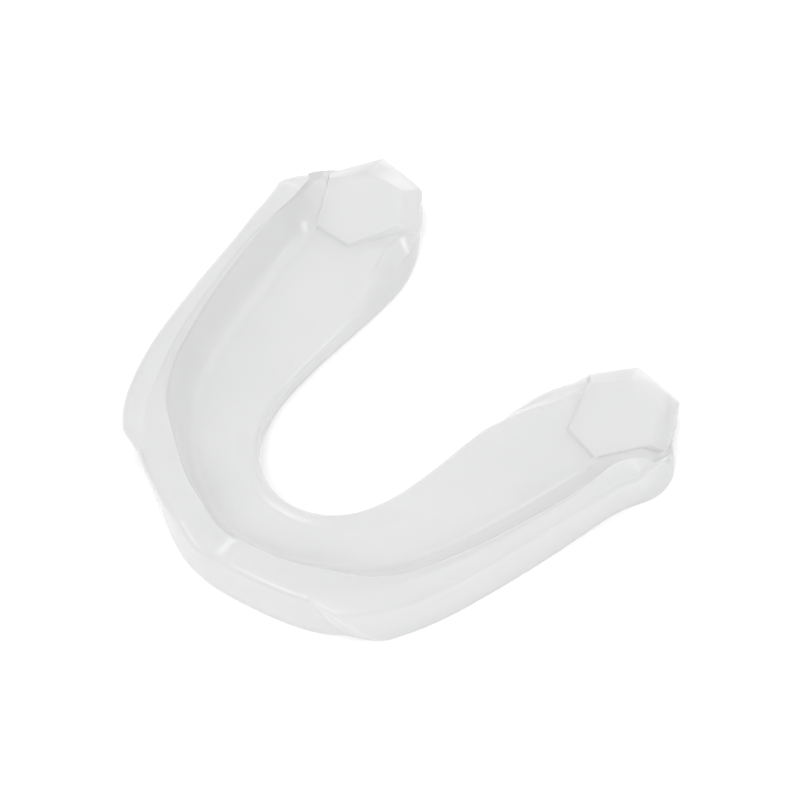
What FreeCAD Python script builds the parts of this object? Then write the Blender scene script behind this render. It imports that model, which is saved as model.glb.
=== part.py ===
import FreeCAD, Part
# Boil-and-bite mouthguard, millimetres, +Z up.
# Origin: centre of the footprint on the plane the guard rests on.
# Front teeth toward -Y, arm ends toward +Y; left is -X and right is +X, as seen from the front.
import os
import Sketcher

os.makedirs("parts", exist_ok=True)
doc = FreeCAD.newDocument("mouthguard")
sheet = doc.addObject("Spreadsheet::Sheet", "Sizes")
V = FreeCAD.Vector

SIZES = [
    ("half_width", 32.2, "half the overall width over the cheek wings"),
    ("depth", 57.5, "front of the wall to the back of the molar pads"),
    ("wall_height", 8.0, "top of the outer wall above the rest plane"),
    ("floor_height", 4.0, "top of the bite floor above the rest plane"),
    ("base_thick", 2.2, "tray floor under the liner"),
    ("ramp_start", 14.0, "where the wall top starts to fall toward the arm end"),
    ("ramp_end", 23.0, "where the falling wall top reaches its lowest point"),
    ("ramp_low", 3.0, "height of the wall at the arm end"),
    ("liner_thick", 1.8, "soft fitting layer"),
    ("pad_side", 1.2, "upright side of a molar pad above the tray floor"),
    ("pad_rise", 2.6, "height of a molar pad above the tray floor"),
    ("wing_lean", 4.0, "how far the foot of a wing's front edge sits behind its top"),
    ("notch_width", 9.0, "lip-tie notch width"),
    ("notch_depth", 1.4, "lip-tie notch depth"),
    ("lip_round", 0.9, "rounding of the tongue-side edge of the liner"),
]
for row, (name, value, note) in enumerate(SIZES, start=1):
    sheet.set("A%d" % row, name)
    sheet.set("B%d" % row, repr(value))
    sheet.set("C%d" % row, note)
    sheet.setAlias("B%d" % row, name)
doc.recompute()


def size(name):
    return float(sheet.get(name))


# plan curves of the right-hand half arch; the left half is the mirror image
KX = size("half_width") / 32.2
KY = size("depth") / 57.5


def plan(points):
    return [(x * KX, (y - 0.45) * KY) for x, y in points]


OUTER = plan([(0, -28.3), (5.2, -27.8), (10.2, -26.2), (14.6, -24.05), (17.3, -22.1), (19.4, -20.0),
              (21.8, -16.3), (24.0, -11.0), (25.7, -4.6), (27.1, 2.6), (28.3, 9.6), (29.1, 15.2)])
RIM = plan([(0, -24.6), (4.6, -24.0), (9.4, -22.3), (14.0, -19.6), (17.9, -16.0), (21.0, -11.0),
            (23.2, -4.6), (25.0, 2.2), (26.3, 8.2), (26.7, 12.2), (26.3, 15.0)])
FLOOR = plan([(0, -22.6), (4.4, -21.9), (8.6, -20.0), (12.6, -16.9), (15.9, -13.0), (18.5, -8.4),
              (20.4, -2.6), (21.9, 3.6), (23.1, 9.2), (23.9, 13.0), (24.2, 15.2)])
INNER = plan([(0, -15.1), (3.4, -14.5), (6.3, -12.9), (8.6, -10.1), (10.1, -6.2), (10.8, -1.0),
              (11.1, 6.0), (11.2, 13.0), (11.6, 19.0)])
PAD = plan([(29.5, 23.5), (25.8, 29.2), (19.0, 29.1), (14.6, 24.5), (18.8, 15.9), (24.2, 15.2)])
PAD_TOP = plan([(27.7, 21.6), (25.2, 25.9), (19.8, 26.9), (16.7, 23.1), (19.3, 16.5), (24.1, 16.0)])
WING = plan([(17.9, -23.7), (20.5, -21.4), (23.3, -16.7), (24.9, -12.6), (26.6, -6.0), (27.7, -0.6),
             (28.6, 4.6), (29.4, 10.2), (30.4, 15.2), (31.5, 17.5), (32.2, 19.3), (31.9, 21.2),
             (31.0, 23.1), (29.5, 24.2)])


def plane(body, role):
    return [f for f in body.Origin.OriginFeatures if f.Role == role][0]


def spline(pts):
    curve = Part.BSplineCurve()
    curve.interpolate([V(x, y, 0) for x, y in pts])
    return curve


def line(p, q):
    return Part.LineSegment(V(p[0], p[1], 0), V(q[0], q[1], 0))


def mirror(pts):
    return [(-x, y) for x, y in pts]


def whole(pts):
    return mirror(pts)[::-1][:-1] + list(pts)


def sketch_on(body, name, geoms, height=None, role="XY_Plane"):
    sk = doc.addObject("Sketcher::SketchObject", name)
    body.addObject(sk)
    sk.AttachmentSupport = [(plane(body, role), "")]
    sk.MapMode = "FlatFace"
    if height:
        sk.setExpression("AttachmentOffset.Base.z", height)
    sk.addGeometry(geoms, False)
    sk.Visibility = False
    return sk


def body_named(label):
    body = doc.addObject("PartDesign::Body", label)
    body.Label = label
    return body


def feature(body, kind, name, profile):
    ft = body.newObject(kind, name)
    ft.Profile = profile
    return ft


def loft(body, kind, name, low, high):
    ft = body.newObject(kind, name)
    ft.Profile = low
    ft.Sections = [high]
    ft.Ruled = True
    return ft


def round_edges(body, name, base, pick, radius):
    names = ["Edge%d" % (i + 1) for i, e in enumerate(base.Shape.Edges) if pick(e)]
    ft = body.newObject("PartDesign::Fillet", name)
    ft.Base = (base, names)
    ft.setExpression("Radius", radius)
    return ft


# ---------------------------------------------------------------- tray
END_OUT = plan([(29.9, 18.0), (30.2, 20.4), (29.6, 22.4)])
tray_out = OUTER + END_OUT
TIP = plan([(29.5, 24.2), (28.1, 26.4), (25.8, 29.1), (19.0, 29.0), (16.9, 27.1), (15.3, 24.6),
            (13.9, 23.6), (12.7, 21.4)])


def closed_u(outer, inner, tip):
    """closed U outline: outer spline, straight tip, inner spline, straight tip"""
    out = whole(outer)
    inn = whole(inner)
    geoms = [spline(out)]
    right = [outer[-1]] + tip + [inner[-1]]
    for p, q in zip(right[:-1], right[1:]):
        geoms.append(line(p, q))
    geoms.append(spline(inn[::-1]))
    left = mirror(right)[::-1]
    for p, q in zip(left[:-1], left[1:]):
        geoms.append(line(p, q))
    return geoms


tray = body_named("outer_tray")
s1 = sketch_on(tray, "TrayOutline", closed_u(tray_out, INNER, TIP))
pad1 = feature(tray, "PartDesign::Pad", "TrayBlock", s1)
pad1.setExpression("Length", "Sizes.wall_height")
doc.recompute()


def trough_outline(edge, tail):
    """region inside the wall, run out past the tongue side and the arm ends"""
    pts = whole(edge)
    far = plan([(40.0, 34.0)])[0]
    back = [edge[-1]] + tail + [far, (-far[0], far[1])]
    geoms = [spline(pts)]
    for p, q in zip(back[:-1], back[1:]):
        geoms.append(line(p, q))
    left = [(-far[0], far[1])] + mirror(tail)[::-1] + [(-edge[-1][0], edge[-1][1])]
    for p, q in zip(left[:-1], left[1:]):
        geoms.append(line(p, q))
    return geoms


low = sketch_on(tray, "FloorLine", trough_outline(FLOOR, PAD[:1]), "Sizes.floor_height")
high = sketch_on(tray, "RimLine", trough_outline(RIM, plan([(30.7, 22.6)])), "Sizes.wall_height")
slope = loft(tray, "PartDesign::SubtractiveLoft", "SlopedWall", low, high)
doc.recompute()
deep = sketch_on(tray, "TroughLine", trough_outline(FLOOR, PAD[:1]), "Sizes.base_thick")
cut = feature(tray, "PartDesign::Pocket", "TroughCut", deep)
cut.setExpression("Length", "Sizes.liner_thick")
cut.Reversed = True
doc.recompute()

nw, nd, wh = size("notch_width"), size("notch_depth"), size("wall_height")
notch_arc = [(-nw / 2, wh), (-nw / 4, wh - nd * 0.72), (0, wh - nd), (nw / 4, wh - nd * 0.72), (nw / 2, wh)]
notch_sk = sketch_on(tray, "LipTie", [spline(notch_arc), line((nw / 2, wh), (nw / 2, wh + 2)),
                                      line((nw / 2, wh + 2), (-nw / 2, wh + 2)),
                                      line((-nw / 2, wh + 2), (-nw / 2, wh))], role="XZ_Plane")
notch = feature(tray, "PartDesign::Pocket", "LipTieNotch", notch_sk)
notch.Type = 0
notch.Length = 60
notch.Midplane = True
doc.recompute()


def ramp(body, label):
    """takes the wall top down toward the arm end, cut straight across"""
    y0, y1 = size("ramp_start"), size("ramp_end")
    z0, z1 = size("wall_height"), size("ramp_low")
    pts = [(y0, z0), (y1, z1), (y1 + 12, z1), (y1 + 12, z0 + 3), (y0, z0 + 3)]
    sk = sketch_on(body, label, [line(p, q) for p, q in zip(pts, pts[1:] + pts[:1])], role="YZ_Plane")
    ft = feature(body, "PartDesign::Pocket", label + "Cut", sk)
    ft.Type = 0
    ft.Length = 90
    ft.Midplane = True
    doc.recompute()
    return ft


ramp(tray, "TrayRamp")

# ---------------------------------------------------------------- liner
liner = body_named("fit_liner")
LIN_END = [PAD[4], PAD[3]] + plan([(13.9, 23.6), (12.7, 21.4)])


def liner_outline():
    out = whole(FLOOR)
    inn = whole(INNER)
    right = [FLOOR[-1]] + LIN_END + [INNER[-1]]
    geoms = [spline(out)]
    for p, q in zip(right[:-1], right[1:]):
        geoms.append(line(p, q))
    geoms.append(spline(inn[::-1]))
    left = mirror(right)[::-1]
    for p, q in zip(left[:-1], left[1:]):
        geoms.append(line(p, q))
    return geoms


s2 = sketch_on(liner, "LinerOutline", liner_outline(), "Sizes.base_thick")
pad2 = feature(liner, "PartDesign::Pad", "LinerLayer", s2)
pad2.setExpression("Length", "Sizes.liner_thick")
doc.recompute()
round_edges(liner, "LipRound", pad2,
            lambda e: abs(e.BoundBox.ZMin - size("floor_height")) < 1e-3
            and abs(e.BoundBox.ZMax - size("floor_height")) < 1e-3
            and e.BoundBox.XLength > 20 * KX and e.BoundBox.XLength < 26 * KX
            and e.BoundBox.YLength > 20,
            "Sizes.lip_round")
doc.recompute()

# ---------------------------------------------------------------- molar pads
def poly(pts):
    return [line(p, q) for p, q in zip(pts, pts[1:] + pts[:1])]


def molar_pad(label, sign):
    body = body_named(label)
    base = [(sign * x, y) for x, y in PAD]
    top = [(sign * x, y) for x, y in PAD_TOP]
    if sign < 0:
        base, top = base[::-1], top[::-1]
    a = sketch_on(body, label + "_foot", poly(base), "Sizes.base_thick")
    block = feature(body, "PartDesign::Pad", label + "_side", a)
    block.setExpression("Length", "Sizes.pad_side")
    b = sketch_on(body, label + "_low", poly(base), "Sizes.base_thick + Sizes.pad_side")
    c = sketch_on(body, label + "_top", poly(top), "Sizes.base_thick + Sizes.pad_rise")
    loft(body, "PartDesign::AdditiveLoft", label + "_bevel", b, c)
    doc.recompute()
    return body


pad_l = molar_pad("molar_pad_left", -1)
pad_r = molar_pad("molar_pad_right", 1)

# ---------------------------------------------------------------- cheek wings
def wing(label, sign):
    body = body_named(label)
    curve = spline(whole(tray_out))
    t0 = curve.parameter(V(sign * tray_out[4][0], tray_out[4][1], 0))
    t1 = curve.parameter(V(sign * tray_out[-1][0], tray_out[-1][1], 0))
    inner = curve.copy()
    inner.segment(min(t0, t1), max(t0, t1))
    p0, p1 = curve.value(t0), curve.value(t1)
    tip = (sign * TIP[0][0], TIP[0][1])
    rim = [(sign * x, y) for x, y in WING]
    geoms = [inner, line((p1.x, p1.y), tip), spline(rim[::-1]), line(rim[0], (p0.x, p0.y))]
    a = sketch_on(body, label + "_outline", geoms)
    block = feature(body, "PartDesign::Pad", label + "_block", a)
    block.setExpression("Length", "Sizes.wall_height")
    doc.recompute()
    ramp(body, label + "_ramp")
    # leaning front edge: the foot starts farther back than the top
    x0, x1, top = rim[0][0], rim[0][0] + sign * size("wing_lean"), size("wall_height")
    out = x0 - sign * 6.0
    edge = [(x0, top), (x1, 0.0), (x1, -1.0), (out, -1.0), (out, top)]
    sk = sketch_on(body, label + "_lean", [line(p, q) for p, q in zip(edge, edge[1:] + edge[:1])], role="XZ_Plane")
    cut = feature(body, "PartDesign::Pocket", label + "_lean_cut", sk)
    cut.Type = 0
    cut.Length = 90
    cut.Midplane = True
    doc.recompute()
    return body


wing_l = wing("cheek_wing_left", -1)
wing_r = wing("cheek_wing_right", 1)
doc.recompute()

BODIES = [tray, liner, pad_l, pad_r, wing_l, wing_r]
for obj in doc.Objects:
    state = list(getattr(obj, "State", []))
    if "Invalid" in state or "Error" in state:
        raise RuntimeError("%s: %s" % (obj.Label, state))
for body in BODIES:
    shape = body.Shape
    if shape.isNull() or not shape.isValid() or len(shape.Solids) != 1:
        raise RuntimeError("%s is not one valid solid (%d)" % (body.Label, len(shape.Solids)))
    shape.exportStep("parts/%s.step" % body.Label)
    box = shape.BoundBox
    print("%s volume %.1f box %.2f %.2f %.2f .. %.2f %.2f %.2f" % (
        body.Label, shape.Volume, box.XMin, box.YMin, box.ZMin, box.XMax, box.YMax, box.ZMax))
for i, a in enumerate(BODIES):
    for b in BODIES[i + 1:]:
        both = a.Shape.common(b.Shape)
        if both.Volume > 0.001:
            print("overlap %s %s %.4f" % (a.Label, b.Label, both.Volume))
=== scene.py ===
import bpy, bmesh, math
import numpy as np
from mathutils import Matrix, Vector


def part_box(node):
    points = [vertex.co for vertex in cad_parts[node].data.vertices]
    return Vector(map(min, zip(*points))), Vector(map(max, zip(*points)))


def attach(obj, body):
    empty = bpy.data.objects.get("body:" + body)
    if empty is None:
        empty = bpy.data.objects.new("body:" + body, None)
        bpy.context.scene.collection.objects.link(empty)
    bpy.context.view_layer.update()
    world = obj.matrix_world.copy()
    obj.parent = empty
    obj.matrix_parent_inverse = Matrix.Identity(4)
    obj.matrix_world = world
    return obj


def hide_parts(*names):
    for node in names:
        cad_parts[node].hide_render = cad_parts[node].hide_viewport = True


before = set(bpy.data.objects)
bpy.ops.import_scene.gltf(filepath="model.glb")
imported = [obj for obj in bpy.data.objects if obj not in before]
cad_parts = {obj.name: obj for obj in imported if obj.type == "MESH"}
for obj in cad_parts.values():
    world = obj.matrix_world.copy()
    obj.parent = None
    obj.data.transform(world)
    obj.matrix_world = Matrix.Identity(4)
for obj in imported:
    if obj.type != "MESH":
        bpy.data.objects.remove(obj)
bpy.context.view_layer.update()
MM = 0.001

# ------------------------------------------------------------------ sizes from the frame
tray_lo, tray_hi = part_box("outer_tray")
lin_lo, lin_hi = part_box("fit_liner")
pad_lo, pad_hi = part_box("molar_pad_right")
wing_lo, wing_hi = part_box("cheek_wing_right")
KX = wing_hi[0] / (32.217 * MM)
KY = (pad_hi[1] - tray_lo[1]) / (57.5 * MM)
DY = (tray_lo[1] / MM) / KY + 28.30           # origin sits at the middle of the footprint
WALL = tray_hi[2] / MM                        # wall top
FLOOR_Z = lin_hi[2] / MM                      # bite floor
BASE_Z = lin_lo[2] / MM                       # under the liner
PAD_Z = pad_hi[2] / MM                        # pad plateau


def put(x, y, z):
    return (x * KX * MM, (y + DY) * KY * MM, z * MM)


# ------------------------------------------------------------------ curve tools
def spline(knots, vals):
    k = np.asarray(knots, float)
    v = np.asarray(vals, float)
    if v.ndim == 1:
        v = v[:, None]
    n = len(k)
    hh = np.diff(k)
    A = np.zeros((n, n))
    B = np.zeros((n, v.shape[1]))
    A[0, 0] = A[-1, -1] = 1.0
    for i in range(1, n - 1):
        A[i, i - 1], A[i, i], A[i, i + 1] = hh[i - 1], 2 * (hh[i - 1] + hh[i]), hh[i]
        B[i] = 6 * ((v[i + 1] - v[i]) / hh[i] - (v[i] - v[i - 1]) / hh[i - 1])
    M = np.linalg.solve(A, B)

    def f(x):
        x = float(x)
        i = int(min(max(np.searchsorted(k, x) - 1, 0), n - 2))
        a, b, h1 = k[i + 1] - x, x - k[i], hh[i]
        return (M[i] * a ** 3 + M[i + 1] * b ** 3) / (6 * h1) + (v[i] / h1 - M[i] * h1 / 6) * a + (v[i + 1] / h1 - M[i + 1] * h1 / 6) * b

    return f


def smooth(a, b, x):
    t = min(max((x - a) / (b - a), 0.0), 1.0)
    return t * t * (3 - 2 * t)


def table(pairs, x):
    """linear lookup between listed pairs"""
    if x <= pairs[0][0]:
        return pairs[0][1]
    for (x0, y0), (x1, y1) in zip(pairs[:-1], pairs[1:]):
        if x <= x1:
            return y0 + (y1 - y0) * (x - x0) / (x1 - x0)
    return pairs[-1][1]


# corresponding stations of the right half arch: tongue edge, floor edge, rim edge, outer face
T = [
    ((0.0, -14.70), (0.0, -22.6), (0.0, -24.6), (0.0, -28.33)),
    ((2.45, -14.32), (4.4, -21.9), (4.6, -24.0), (5.2, -27.6)),
    ((4.72, -13.3), (8.6, -20.0), (9.4, -22.3), (10.2, -26.15)),
    ((6.75, -11.65), (12.6, -16.9), (13.6, -19.85), (14.75, -24.25)),
    ((8.35, -9.5), (15.7, -13.3), (17.4, -17.35), (18.7, -21.15)),
    ((9.43, -7.05), (17.9, -9.7), (20.45, -13.6), (21.8, -16.3)),
    ((10.1, -4.5), (19.6, -5.4), (22.5, -9.3), (24.0, -11.0)),
    ((10.55, -1.2), (20.9, -0.8), (24.4, -3.5), (25.7, -4.6)),
    ((10.9, 3.8), (21.9, 3.8), (25.95, 2.7), (27.1, 2.6)),
    ((11.02, 9.4), (23.1, 9.2), (27.2, 8.7), (28.3, 9.6)),
    ((11.17, 13.9), (24.0, 13.6), (27.8, 13.0), (29.1, 15.0)),
    ((11.5, 17.4), (25.4, 16.9), (28.4, 16.5), (29.9, 18.0)),
    ((12.20, 20.2), (27.0, 19.5), (29.1, 19.5), (30.3, 20.4)),
    ((13.30, 22.5), (28.7, 22.0), (29.5, 22.0), (30.1, 22.5)),
]
# the arm end, round the hexagonal foot: tongue side and cheek side, met by straight spans
END = [
    ((13.3, 22.5), (30.1, 22.5)),
    ((13.9, 23.55), (29.65, 23.55)),
    ((14.5, 24.2), (29.15, 24.25)),
    ((15.1, 24.9), (28.65, 24.95)),
    ((16.0, 26.1), (27.8, 26.3)),
    ((16.85, 27.25), (27.15, 27.4)),
    ((17.8, 28.3), (26.5, 28.35)),
    ((18.8, 29.15), (25.85, 29.15)),
]
HEIGHTS = [(-40, 8.0), (12.5, 8.0), (14.0, 7.95), (15.5, 7.75), (16.8, 7.35), (18.0, 6.6), (19.2, 5.7),
           (20.3, 4.95), (21.4, 4.2), (22.4, 3.5), (23.2, 3.0), (24.0, 2.6), (25.2, 2.2), (40, 2.2)]


def wall_height(y):
    s = 0.0
    for k, w in ((-0.9, 0.2), (-0.45, 0.25), (0, 0.1), (0.45, 0.25), (0.9, 0.2)):
        s += w * table(HEIGHTS, y + k)
    return s * WALL / 8.0


key = [0.0]
for i in range(1, len(T)):
    key.append(key[-1] + 0.5 * (math.dist(T[i][3], T[i - 1][3]) + math.dist(T[i][1], T[i - 1][1])))
full_key = [-k for k in key[::-1][:-1]] + key


def both(col):
    pts = [row[col] for row in T]
    return spline(full_key, [(-x, y) for x, y in pts[::-1][:-1]] + pts)


f_inner, f_floor, f_rim, f_outer = both(0), both(1), both(2), both(3)
U_END = key[-1]
U_NOTCH = 4.2
SOFT = 1.15                                   # reach of the soft hollow at the foot of the wall


def station(u):
    return f_inner(u), f_floor(u), f_rim(u), f_outer(u)


def lean(y):
    """how far the top of the tongue side steps back from its foot, near the arm ends"""
    return table([(6.0, 0.0), (9.5, 0.2), (12.0, 0.8), (14.8, 1.6), (17.5, 2.5), (19.7, 3.0), (21.0, 2.95), (22.5, 2.2), (24.0, 1.1)], y)


def lip_tie(u):
    return 1.2 * (1 - smooth(0.3, U_NOTCH, abs(u)))


# ------------------------------------------------------------------ mesh tools
def make_mesh(name, verts, faces, angle=40.0):
    me = bpy.data.meshes.new(name)
    me.from_pydata([put(*v) for v in verts], [], faces)
    bm = bmesh.new()
    bm.from_mesh(me)
    bmesh.ops.remove_doubles(bm, verts=bm.verts, dist=2e-7)
    bmesh.ops.dissolve_degenerate(bm, dist=2e-7, edges=bm.edges)
    bmesh.ops.recalc_face_normals(bm, faces=bm.faces)
    for f in bm.faces:
        f.smooth = True
    bm.to_mesh(me)
    bm.free()
    if angle:
        me.set_sharp_from_angle(angle=math.radians(angle))
    ob = bpy.data.objects.new(name, me)
    bpy.context.scene.collection.objects.link(ob)
    return ob


def skin(name, loops, angle=40.0):
    n = len(loops[0])
    verts = [p for lp in loops for p in lp]
    faces = []
    for i in range(len(loops) - 1):
        for j in range(n):
            a = i * n + j
            b = i * n + (j + 1) % n
            faces.append((a, b, b + n, a + n))
    # flat end caps built as strips between the two sides of the loop
    for base in (0, (len(loops) - 1) * n):
        lo, hi = 0, n - 1
        while hi - lo > 2:
            faces.append((base + lo, base + lo + 1, base + hi - 1, base + hi))
            lo, hi = lo + 1, hi - 1
        if hi - lo == 2:
            faces.append((base + lo, base + lo + 1, base + hi))
    return make_mesh(name, verts, faces, angle)


class Section:
    """collects points of one cross-section; s runs along a straight span from a to b"""

    def __init__(self):
        self.pts = []

    def at(self, a, b, s, z):
        a, b = np.asarray(a, float), np.asarray(b, float)
        d = b - a
        w = max(float(np.hypot(*d)), 1e-6)
        p = a + d / w * s
        self.pts.append((float(p[0]), float(p[1]), float(z)))


def inner_lean(y, z):
    return lean(y) * smooth(0.7, 3.6, z)


# ------------------------------------------------------------------ tray
def tray_loop(i, f, r, o, h, left_front=0.0, arm_end=0.0):
    S = Section()
    y = float(i[1])
    wo = float(np.hypot(*(o - r)))
    ws = float(np.hypot(*(r - f)))
    wall = smooth(0.15, 2.2, h - BASE_Z)
    # tongue side: rounded foot, leaning face
    rb = 0.75
    for k in range(7):
        a = math.radians(270 - 90 * k / 6)
        S.at(i, f, rb + rb * math.cos(a), rb + rb * math.sin(a))
    for z in (1.2, 1.7, BASE_Z - 0.02):
        S.at(i, f, inner_lean(y, z), z)
    w = float(np.hypot(*(f - i)))
    s0 = inner_lean(y, BASE_Z) + 0.10
    for t in (0.0, 0.33, 0.66, 1.0):
        S.at(i, f, s0 + (w - 0.12 - s0) * t, BASE_Z)
    floor_z = BASE_Z + (FLOOR_Z - BASE_Z) * wall
    top = max(h, BASE_Z + 0.02)
    floor_z = min(floor_z + 0.62 * wall * smooth(13.5, 16.0, float(f[1])), max(top - 0.03 + 0.6 * smooth(19.0, 20.8, float(f[1])) * (1 - smooth(22.0, 23.0, float(f[1]))), BASE_Z))
    tuck = 0.1 + 0.6 * smooth(12.5, 15.5, float(f[1]))
    S.at(i, f, w - tuck, BASE_Z + (floor_z - BASE_Z) * 0.5)
    S.at(i, f, w - tuck, max(floor_z - 0.06, BASE_Z))
    # hollow foot of the wall, long slope, rounded crest
    rr = min(0.7, wo * 0.32, ws * 0.5, max((top - floor_z) * 0.35, 0.01))
    rise = max(top - floor_z, 0.0)
    crest_s, crest_z = ws + rr * 0.25, top
    for t in np.linspace(0.03, 0.86, 12):
        q = (t - 0.03) / 0.83
        S.at(f, r, (ws - rr * 0.55) * (0.02 + 0.98 * q), floor_z - 0.02 + (top - rr * 0.62 - floor_z + 0.02) * (0.62 * q + 0.38 * q * q))
    for k in range(1, 7):
        a = math.radians(135 - 45 * k / 6)
        S.at(r, o, -rr * 0.55 + rr * (math.cos(a) - math.cos(math.radians(135))), top - rr + rr * math.sin(a) - 0.0)
    # rim top, dished very slightly, round shoulder to the outer face
    ro = min(0.95, wo * 0.4, max(top * 0.3, 0.25))
    ro *= 1 - 0.75 * smooth(18.8, 20.6, float(o[1]))
    s_a, s_b = rr * 0.4, wo - ro
    for t in (0.25, 0.5, 0.75):
        S.at(r, o, s_a + (s_b - s_a) * t, top - 0.05 * math.sin(math.pi * t) * wall)
    inset = left_front
    for k in range(9):
        a = math.radians(90 - 90 * k / 8)
        S.at(r, o, wo - ro + ro * math.cos(a), top - ro + ro * math.sin(a))
    # outer face down to the rounded foot
    rf = 0.35 + 0.6 * min(inset, 1.0)
    rf = min(rf, top * 0.4)
    for t in (0.2, 0.4, 0.6, 0.8):
        z = (top - ro) + (rf - (top - ro)) * t
        S.at(r, o, wo - inset * t ** 1.5, z)
    for k in range(8):
        a = math.radians(-90 * k / 7)
        S.at(r, o, wo - inset - rf + rf * math.cos(a), rf + rf * math.sin(a))
    for t in (0.7, 0.35):
        p = i + (o - i) * t
        S.pts.append((float(p[0]), float(p[1]), 0.0))
    return S.pts


loops = []
end_steps = []
for (a0, b0), (a1, b1) in zip(END[:-1], END[1:]):
    for t in np.linspace(0, 1, 5)[1:]:
        end_steps.append((np.array(a0) + (np.array(a1) - np.array(a0)) * t, np.array(b0) + (np.array(b1) - np.array(b0)) * t))


def end_loop(pair, sign):
    i, o = pair[0] * np.array([sign, 1]), pair[1] * np.array([sign, 1])
    d = o - i
    w = float(np.hypot(*d))
    f = i + d * (1 - 1.4 / w)
    r = i + d * (1 - 0.85 / w)
    return tray_loop(i, f, r, o, wall_height(float(o[1])))


us = np.linspace(-U_END, U_END, 421)
for pair in end_steps[::-1]:
    loops.append(end_loop(pair, -1))
for u in us:
    i, f, r, o = station(u)
    lf = 1.4 * smooth(-U_END * 0.50, -U_END * 0.36, u) * (1 - smooth(-U_END * 0.25, -U_END * 0.04, u))
    loops.append(tray_loop(i, f, r, o, wall_height(float(o[1])) - lip_tie(u), lf))
for pair in end_steps:
    loops.append(end_loop(pair, 1))
tray = skin("tray_shell", loops)

# ------------------------------------------------------------------ liner
TAIL = [
    ((11.07, 11.6), (23.55, 11.4)), ((11.15, 13.4), (24.0, 13.4)), ((11.2, 14.6), (24.3, 15.2)),
    ((11.3, 15.6), (22.2, 15.9)), ((11.42, 16.7), (19.6, 16.5)),
    ((11.75, 18.6), (18.3, 18.7)), ((12.1, 20.2), (17.2, 20.9)), ((12.7, 21.6), (16.2, 22.9)),
    ((13.25, 22.4), (15.6, 23.75)), ((13.75, 23.3), (15.2, 24.4)),
]
u_tail = next(u for u in np.linspace(0, U_END, 800) if f_inner(u)[1] > 9.8)
pairs = []
for u in np.linspace(-u_tail, u_tail, 330):
    i, f, r, o = station(u)
    pairs.append((i, f, r, wall_height(float(o[1])) - lip_tie(u), float(np.hypot(*(o - r)))))
seq = [(pairs[-1][0], pairs[-1][1])] + [(np.array(a), np.array(b)) for a, b in TAIL]
tail = []
for (a0, b0), (a1, b1) in zip(seq[:-1], seq[1:]):
    for t in np.linspace(0, 1, 7)[1:]:
        a, b = a0 + (a1 - a0) * t, b0 + (b1 - b0) * t
        d = (b - a) / np.hypot(*(b - a))
        if b[1] < 15.3:                       # still along the wall
            un = min(np.linspace(u_tail * 0.9, U_END, 500), key=lambda q: abs(f_floor(q)[1] - b[1]))
            fo = f_outer(un)
            tail.append((a, f_floor(un), f_rim(un), wall_height(float(fo[1])), float(np.hypot(*(fo - f_rim(un))))))
        else:
            tail.append((a, b, b + d * 3.0, WALL, 2.0))
mir = np.array([-1.0, 1.0])
pairs = [(a * mir, b * mir, c * mir, h, wo) for a, b, c, h, wo in tail[::-1]] + pairs + tail


def fold(y, w):
    """distance from the tongue edge to the fold where the flat floor starts to fall away"""
    return min(table([(-16, 2.3), (-10, 3.2), (-4, 4.4), (4, 5.0), (10, 5.4), (16, 6.0), (20, 4.0)], y), w * 0.8)


def near_pad(x, y):
    """how much the floor lifts to meet the front edges of the molar pad"""
    d = abs(x) * 0.168 + y * 0.986 - (18.8 * 0.168 + 15.95 * 0.986)
    return smooth(-3.4, -0.2, d) ** 1.4 * smooth(13.0, 16.0, abs(x) + 0.35 * (y - 12)) * (1 - smooth(17.0, 20.5, y))


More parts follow.
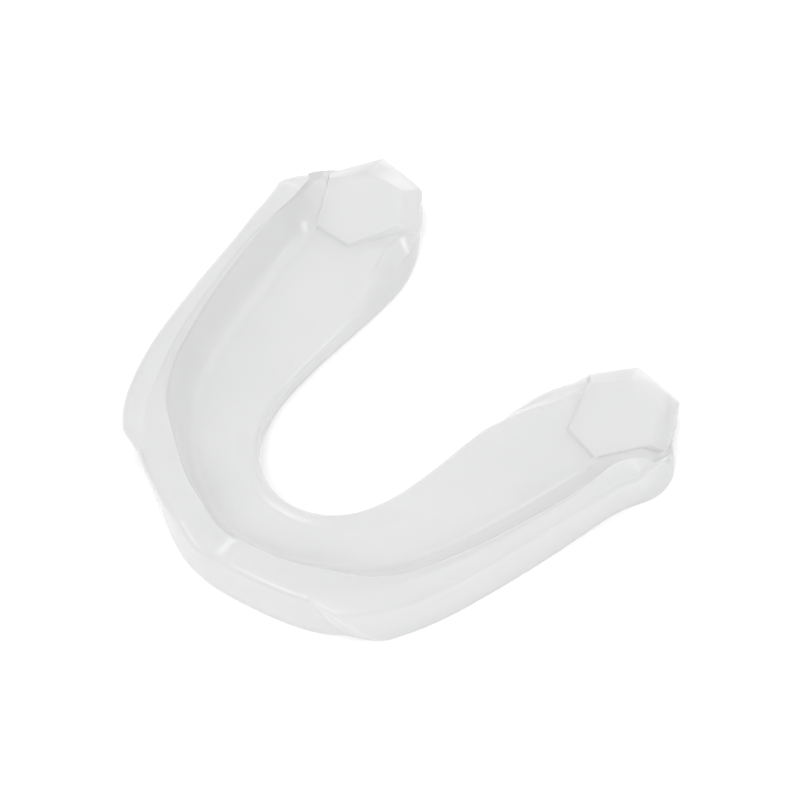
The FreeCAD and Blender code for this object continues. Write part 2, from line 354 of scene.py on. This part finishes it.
def liner_loop(i, f, r, h, wo):
    S = Section()
    y = float(i[1])
    w = float(np.hypot(*(f - i)))
    rad = min(0.95, w * 0.3)
    drop = table([(-16, 0.62), (-8, 0.5), (4, 0.34), (14, 0.25), (19, 0.25), (21.0, 0.45), (24.0, 1.3)], y) * max(min(1.0, w / 6.0), smooth(20.5, 23.0, y))
    zt = FLOOR_Z - drop
    up = 1 - smooth(13.0, 15.2, float(f[1]))
    S.at(i, f, inner_lean(y, BASE_Z) + 0.3, BASE_Z - 0.06)
    for z in (BASE_Z - 0.02, BASE_Z + 0.3):
        if z < zt - rad:
            S.at(i, f, inner_lean(y, z), z)
        else:
            S.at(i, f, inner_lean(y, z), min(z, zt - rad))
    s_r = None
    for k in range(10):
        a = math.radians(180 - 90 * k / 9)
        z = zt - rad + rad * math.sin(a)
        s = inner_lean(y, z) + rad + rad * math.cos(a)
        S.at(i, f, min(s, w * 0.9), z)
        s_r = min(s, w * 0.9)
    fd = max(fold(y, w), s_r + 0.2)
    ws = float(np.hypot(*(r - f)))
    crest = min(0.7, wo * 0.32, ws * 0.5, (h - FLOOR_Z) * 0.35)
    run = ws - crest * 0.55
    reach = max(min(SOFT, run * 0.55) * up, 0.3 if float(f[1]) < 15.35 else 0.0)

    def floor_at(s):
        x = smooth(s_r, fd, s) if s < fd else 1.0
        ramp_t = min((s - s_r) / max(fd - s_r, 1e-3), 1.0)
        z = zt + (FLOOR_Z - zt) * (0.75 * ramp_t + 0.25 * x) * (1 - 0.9 * smooth(22.2, 23.3, y))      # nearly straight fall, short rounded fold
        p = i + (f - i) / w * s
        return z + 0.32 * near_pad(float(p[0]), float(p[1]))

    def wall_at(d):
        q = max((d / run - 0.02) / 0.98, 0.0)
        return FLOOR_Z - 0.02 + (h - crest * 0.62 - FLOOR_Z + 0.02) * (0.62 * q + 0.38 * q * q)

    s0 = max(w - max(reach, 0.02), s_r + 0.05)
    for t in np.linspace(0.04, 1.0, 20):
        s = s_r + (s0 - s_r) * t
        S.at(i, f, s, floor_at(s))
    # soft hollow, level with the floor at one side and with the wall at the other
    z0, z1 = floor_at(s0), wall_at(reach) + 0.012
    if up < 1.0:
        z1 = floor_at(w) + (z1 - floor_at(w)) * up
    m1 = (wall_at(reach + 0.02) - wall_at(reach)) / 0.02 * up
    span = (w - s0) + reach
    for k in range(1, 17):
        t = k / 16
        d = t * span
        z = (2 * t ** 3 - 3 * t ** 2 + 1) * z0 + (3 * t ** 2 - 2 * t ** 3) * z1 + (t ** 3 - t ** 2) * span * m1
        s = s0 + d
        if s <= w:
            S.at(i, f, s, z)
        else:
            S.at(f, r, s - w, z)
    S.at(f, r, reach + 0.05, z1 - 0.08)
    S.at(f, r, reach * 0.5, min(FLOOR_Z - 0.1, z1 - 0.12))
    S.at(i, f, w, BASE_Z - 0.06)
    return S.pts


liner = skin("liner_layer", [liner_loop(*pr) for pr in pairs], 50)

# ------------------------------------------------------------------ molar pads
PAD_LOW = [(29.45, 23.0, 3.1), (25.85, 29.25, 3.75), (18.9, 29.2, 3.95), (14.75, 24.5, 2.9), (18.8, 15.95, 3.98), (24.35, 15.3, 4.12)]
PAD_FOOT = [(29.5, 23.3), (25.95, 29.3), (18.75, 29.2), (14.65, 24.5), (18.75, 15.9), (24.3, 15.2)]
PAD_TOP = [(28.0, 21.75), (25.25, 25.8), (19.8, 26.95), (16.75, 23.0), (19.25, 16.35), (24.35, 15.65)]


def hex_loop(pts, radius, per_edge=9, per_corner=5):
    """hexagon with softly rounded corners, sampled evenly"""
    pts = [np.array(p, float) for p in pts]
    out = []
    n = len(pts)
    for j in range(n):
        p, q, r = pts[j - 1], pts[j], pts[(j + 1) % n]
        a = q + (p - q) / np.linalg.norm((p - q)[:2]) * radius
        c = q + (r - q) / np.linalg.norm((r - q)[:2]) * radius
        for k in range(per_corner):
            t = k / (per_corner - 1)
            out.append(a * (1 - t) ** 2 + q * 2 * t * (1 - t) + c * t ** 2)
        nxt = pts[(j + 1) % n]
        d = nxt + (q - nxt) / np.linalg.norm((q - nxt)[:2]) * radius
        for k in range(1, per_edge):
            t = k / per_edge
            out.append(c * (1 - t) + d * t)
    return out


def molar_pad(name, sign):
    foot = [np.array([x, y, 0.0]) for x, y in PAD_FOOT]
    low = [np.array(p) for p in PAD_LOW]
    top = [np.array([x, y, PAD_Z]) for x, y in PAD_TOP]
    mid = sum(top) / 6.0
    rings = []
    rings.append(hex_loop([np.array([p[0], p[1], BASE_Z - 0.03]) for p in foot], 0.35))
    rings.append(hex_loop([np.array([p[0], p[1], max(l[2] - 0.45, BASE_Z)]) for p, l in zip(foot, low)], 0.35))
    e = 0.22                                  # softness of the two edges of each facet
    for k in range(6):
        a = math.radians(90 * k / 5)
        ring = []
        for l, t in zip(low, top):
            d = t - l
            d = d / np.linalg.norm(d)
            start = l - np.array([0, 0, e])
            stop = l + d * e
            u = k / 5
            ring.append(start * (1 - u) ** 2 + l * 2 * u * (1 - u) + stop * u ** 2)
        rings.append(hex_loop(ring, 0.32))
    for u in (0.35, 0.65):
        rings.append(hex_loop([l * (1 - u) + t * u for l, t in zip(low, top)], 0.3))
    for k in range(6):
        ring = []
        for l, t in zip(low, top):
            d = (t - l) / np.linalg.norm(t - l)
            g = (mid - t)
            g = g / np.linalg.norm(g)
            u = k / 5
            ring.append((t - d * e) * (1 - u) ** 2 + t * 2 * u * (1 - u) + (t + g * e) * u ** 2)
        rings.append(hex_loop(ring, 0.28))
    inner = [np.array(p) for p in rings[-1]]
    for q in (0.25, 0.5, 0.75, 0.93):
        rings.append([p + (mid - p) * q + np.array([0, 0, -0.07 * math.sin(math.pi * 0.5 * q)]) for p in inner])
    verts = [(sign * float(p[0]), float(p[1]), float(p[2])) for ring in rings for p in ring]
    n = len(rings[0])
    faces = []
    for i in range(len(rings) - 1):
        for j in range(n):
            k = (j + 1) % n
            faces.append((i * n + j, i * n + k, (i + 1) * n + k, (i + 1) * n + j))
    c_top, c_low = len(verts), len(verts) + 1
    verts.append((sign * float(mid[0]), float(mid[1]), PAD_Z - 0.07))
    verts.append((sign * float(mid[0]), float(mid[1]), BASE_Z - 0.03))
    last = (len(rings) - 1) * n
    for j in range(n):
        k = (j + 1) % n
        faces.append((last + j, last + k, c_top))
        faces.append((k, j, c_low))
    return make_mesh(name, verts, faces, 60)


pad_r = molar_pad("pad_right", 1)
pad_l = molar_pad("pad_left", -1)

# ------------------------------------------------------------------ cheek wings
WING = [(11.8, -26.85), (14.4, -25.75), (16.3, -24.75), (17.95, -23.75), (20.5, -21.4), (23.3, -16.7), (24.9, -12.6), (26.6, -6.0),
        (27.7, -0.6), (28.6, 4.6), (29.4, 10.2), (30.4, 14.9), (31.4, 17.3), (31.95, 19.2), (31.8, 21.2), (31.0, 23.0), (29.7, 24.3), (28.9, 24.9)]
wk = [0.0]
for p, q in zip(WING[:-1], WING[1:]):
    wk.append(wk[-1] + math.dist(p, q))
f_wing = spline(wk, WING)
w_dense = np.array([f_wing(s) for s in np.linspace(0, wk[-1], 3000)])
s_dense = np.linspace(0, wk[-1], 3000)
S_TOP = float(s_dense[np.argmin(np.hypot(w_dense[:, 0] - 17.95, w_dense[:, 1] + 23.72))])
S_FOOT = float(s_dense[np.argmin(np.hypot(w_dense[:, 0] - 22.2, w_dense[:, 1] + 18.8))])
S_LAST = wk[-1] - 0.05
wall_line = np.array([f_outer(u) for u in np.linspace(0, U_END, 2400)] + [p[1] for p in end_steps[:16]])
rim_line = np.array([f_rim(u) for u in np.linspace(0, U_END, 2400)] + [p[1] + (p[0] - p[1]) * 0.05 for p in end_steps[:16]])


def wing(name, sign):
    ts = np.concatenate([np.linspace(0, 0.10, 22)[:-1], np.linspace(0.10, 0.90, 120)[:-1], np.linspace(0.90, 1.0, 30)])
    loops = []
    for t in ts:
        p = f_wing(S_TOP - 3.3 + (S_LAST - S_TOP + 3.3) * t)
        j = int(np.argmin(np.hypot(wall_line[:, 0] - p[0], wall_line[:, 1] - p[1])))
        top = wall_height(float(wall_line[j][1]))
        ro = min(0.95, top * 0.3)
        rf = min(0.5, top * 0.2)
        prof = [("b", 0.35, rf * 0.6), ("b", 0.35, top * 0.35), ("b", 0.35, top * 0.7), ("b", 0.9, top - 0.35), ("b", 1.45, top - 0.12)]
        prof += [("b", 1.45, top + 0.012), ("b", 1.0, top + 0.016), ("b", 0.45, top + 0.016)]
        for k in range(10):
            a = math.radians(90 - 90 * k / 9)
            prof.append(("r", ro - ro * math.cos(a), top + 0.012 - ro + ro * math.sin(a)))
        for q in (0.15, 0.3, 0.45, 0.6, 0.75, 0.9):
            prof.append(("r", 0.0, (top - ro) + (rf - top + ro) * q))
        for k in range(6):
            a = math.radians(-90 * k / 5)
            prof.append(("r", rf - rf * math.cos(a), rf + rf * math.sin(a)))
        prof += [("m", 0.5, 0.0)]
        loop = []
        for kind, val, z in prof:
            zz = min(max(z / WALL, 0.0), 1.0)
            corner = S_FOOT + (S_TOP - S_FOOT) * zz
            run = 4.6 + (3.3 - 4.6) * zz
            s_start = corner - run
            s = s_start + (S_LAST - s_start) * t
            p = f_wing(s)
            j = int(np.argmin(np.hypot(wall_line[:, 0] - p[0], wall_line[:, 1] - p[1])))
            q = wall_line[j]
            full = float(np.hypot(*(p - q)))
            n = (p - q) / full if full > 1e-6 else np.array([1.0, 0.0])
            g = min((s - s_start) / run, 1.0)
            # wedge that ends in a softly rounded corner
            soft = 0.10
            g = g - soft * 0.5 * math.exp(-((s - corner) / (soft * run * 0.9)) ** 2)
            g = max(g, 0.0)
            tip = 1.4 * smooth(15.5, 20.0, float(p[1])) * (1 - smooth(22.0, 24.3, float(p[1]))) * smooth(0.0, 0.9, z / max(top, 1e-3))
            reach = max((full - tip) * g, 0.0) + 0.015
            late = smooth(18.8, 20.4, float(q[1]))
            if kind == "r":                   # swells a little toward the top beside the molars
                reach += 0.38 * smooth(4.0, 11.0, float(p[1])) * (1 - smooth(15.5, 18.5, float(p[1]))) * smooth(0.1, 0.9, zz)
            if kind == "r":
                off = max(reach - val, (-0.95 if val > 0.5 * ro else -0.3) * (1 - late) - 0.03 * late)
            elif kind == "b":
                rj = rim_line[j]
                wide = float(np.hypot(*(rj - q)))
                over = max(wide * 0.55, 0.12)
                off = -min(val, over * (1 - late) + 0.03 * late)
            else:
                off = -0.1
            c = q + n * off
            loop.append((sign * float(c[0]), float(c[1]), max(z, 0.0)))
        loops.append(loop)
    return skin(name, loops, 48)


wing_r = wing("cheek_right", 1)
wing_l = wing("cheek_left", -1)


# ------------------------------------------------------------------ material
def eva(name, tint, rough):
    m = bpy.data.materials.new(name)
    m.use_nodes = True
    nt = m.node_tree
    N, L = nt.nodes, nt.links
    N.clear()
    out = N.new("ShaderNodeOutputMaterial")
    bs = N.new("ShaderNodeBsdfPrincipled")
    tc = N.new("ShaderNodeTexCoord")
    cloud = N.new("ShaderNodeTexNoise")
    cloud.inputs["Scale"].default_value = 90.0
    cloud.inputs["Detail"].default_value = 3.0
    L.new(tc.outputs["Object"], cloud.inputs["Vector"])
    ramp = N.new("ShaderNodeValToRGB")
    ramp.color_ramp.elements[0].position = 0.25
    ramp.color_ramp.elements[1].position = 0.8
    ramp.color_ramp.elements[0].color = (tint[0] * 0.94, tint[1] * 0.945, tint[2] * 0.945, 1)
    ramp.color_ramp.elements[1].color = (*tint, 1)
    L.new(cloud.outputs["Fac"], ramp.inputs["Fac"])
    L.new(ramp.outputs["Color"], bs.inputs["Base Color"])
    bs.inputs["Roughness"].default_value = rough
    bs.inputs["IOR"].default_value = 1.49
    bs.inputs["Transmission Weight"].default_value = 0.55
    # a painted glow stands in for light scattered inside the milky wall and fills its shadows
    bs.inputs["Emission Color"].default_value = (1.0, 1.0, 1.0, 1)
    bs.inputs["Emission Strength"].default_value = 0.074
    bs.inputs["Coat Weight"].default_value = 0.7
    bs.inputs["Coat Roughness"].default_value = 0.14
    bs.inputs["Coat IOR"].default_value = 1.45
    wav = N.new("ShaderNodeTexNoise")
    wav.inputs["Scale"].default_value = 240.0
    wav.inputs["Detail"].default_value = 2.0
    L.new(tc.outputs["Object"], wav.inputs["Vector"])
    bump = N.new("ShaderNodeBump")
    bump.inputs["Strength"].default_value = 0.12
    bump.inputs["Distance"].default_value = 0.0004
    L.new(wav.outputs["Fac"], bump.inputs["Height"])
    L.new(bump.outputs["Normal"], bs.inputs["Normal"])
    L.new(bs.outputs["BSDF"], out.inputs["Surface"])
    return m


m_tray = eva("eva_tray", (0.80, 0.80, 0.80), 0.42)
m_liner = eva("eva_liner", (0.80, 0.80, 0.80), 0.42)
m_pad = eva("eva_pad", (0.80, 0.80, 0.80), 0.42)

for ob, node, sl, mat in ((tray, "outer_tray", "tray_eva", m_tray), (liner, "fit_liner", "liner_eva", m_liner),
                          (pad_r, "molar_pad_right", "pad_eva", m_pad), (pad_l, "molar_pad_left", "pad_eva", m_pad),
                          (wing_r, "cheek_wing_right", "tray_eva", m_tray), (wing_l, "cheek_wing_left", "tray_eva", m_tray)):
    ob.data.materials.clear()
    ob.data.materials.append(mat)
    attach(ob, "root")
    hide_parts(node)

# ------------------------------------------------------------------ floor
bm = bmesh.new()
bmesh.ops.create_grid(bm, x_segments=8, y_segments=8, size=1.6)
me = bpy.data.meshes.new("floor")
bm.to_mesh(me)
bm.free()
floor = bpy.data.objects.new("floor", me)
bpy.context.scene.collection.objects.link(floor)
floor.location = (0, 0, -0.00002)
fm = bpy.data.materials.new("floor_white")
fm.use_nodes = True
fb = fm.node_tree.nodes["Principled BSDF"]
fb.inputs["Base Color"].default_value = (0.97, 0.97, 0.97, 1)
fb.inputs["Roughness"].default_value = 0.9
fb.inputs["Specular IOR Level"].default_value = 0.0
floor.data.materials.append(fm)

# ------------------------------------------------------------------ light
world = bpy.data.worlds.new("studio")
bpy.context.scene.world = world
world.use_nodes = True
wt = world.node_tree
bg = wt.nodes["Background"]
bg.inputs["Color"].default_value = (1.0, 1.0, 1.0, 1)
# the room is brighter overhead than at the horizon
wc = wt.nodes.new("ShaderNodeTexCoord")
ws = wt.nodes.new("ShaderNodeSeparateXYZ")
wm = wt.nodes.new("ShaderNodeMapRange")
wm.inputs["From Min"].default_value = 0.0
wm.inputs["From Max"].default_value = 1.0
wm.inputs["To Min"].default_value = 0.83
wm.inputs["To Max"].default_value = 1.20
wt.links.new(wc.outputs["Generated"], ws.inputs["Vector"])
wt.links.new(ws.outputs["Z"], wm.inputs["Value"])
wt.links.new(wm.outputs["Result"], bg.inputs["Strength"])


def area(name, loc, target, size, power):
    ld = bpy.data.lights.new(name, "AREA")
    ld.shape = "RECTANGLE"
    ld.size, ld.size_y = size
    ld.energy = power
    lo = bpy.data.objects.new(name, ld)
    bpy.context.scene.collection.objects.link(lo)
    lo.location = loc
    lo.rotation_mode = "QUATERNION"
    lo.rotation_quaternion = (Vector(target) - Vector(loc)).to_track_quat("-Z", "Y")
    return lo


area("key", (0.06, -0.46, 0.50), (0, 0, 0), (0.35, 0.35), 1.12)
area("back_strip", (-0.18, 0.50, 0.20), (0, 0, 0), (0.50, 0.05), 0.30)
area("right_back", (0.42, 0.24, 0.36), (0, 0, 0), (0.08, 0.22), 0.32)
area("left_back", (-0.50, 0.20, 0.19), (0, 0, 0), (0.30, 0.05), 0.20)

# ------------------------------------------------------------------ camera
az, el, dist = math.radians(44.7), math.radians(59.1), 0.5
aim = Vector((0, (-1.0 + DY) * MM, 4.0 * MM))
back = Vector((math.sin(az) * math.cos(el), -math.cos(az) * math.cos(el), math.sin(el)))
right_v = Vector((math.cos(az), math.sin(az), 0))
up_v = back.cross(right_v)
px = 1.0 / 8.11 * MM
cd = bpy.data.cameras.new("cam")
cam = bpy.data.objects.new("cam", cd)
bpy.context.scene.collection.objects.link(cam)
cam.location = aim + back * dist + right_v * (41 * px) + up_v * (23 * px)
cam.rotation_mode = "QUATERNION"
cam.rotation_quaternion = (-back).to_track_quat("-Z", "Y")
cd.sensor_width = 36.0
cd.lens = 8.11 * 500 / 800 * 36.0
cd.clip_start, cd.clip_end = 0.01, 10
bpy.context.scene.camera = cam
bpy.context.scene.view_settings.view_transform = "Standard"
bpy.context.scene.view_settings.look = "None"
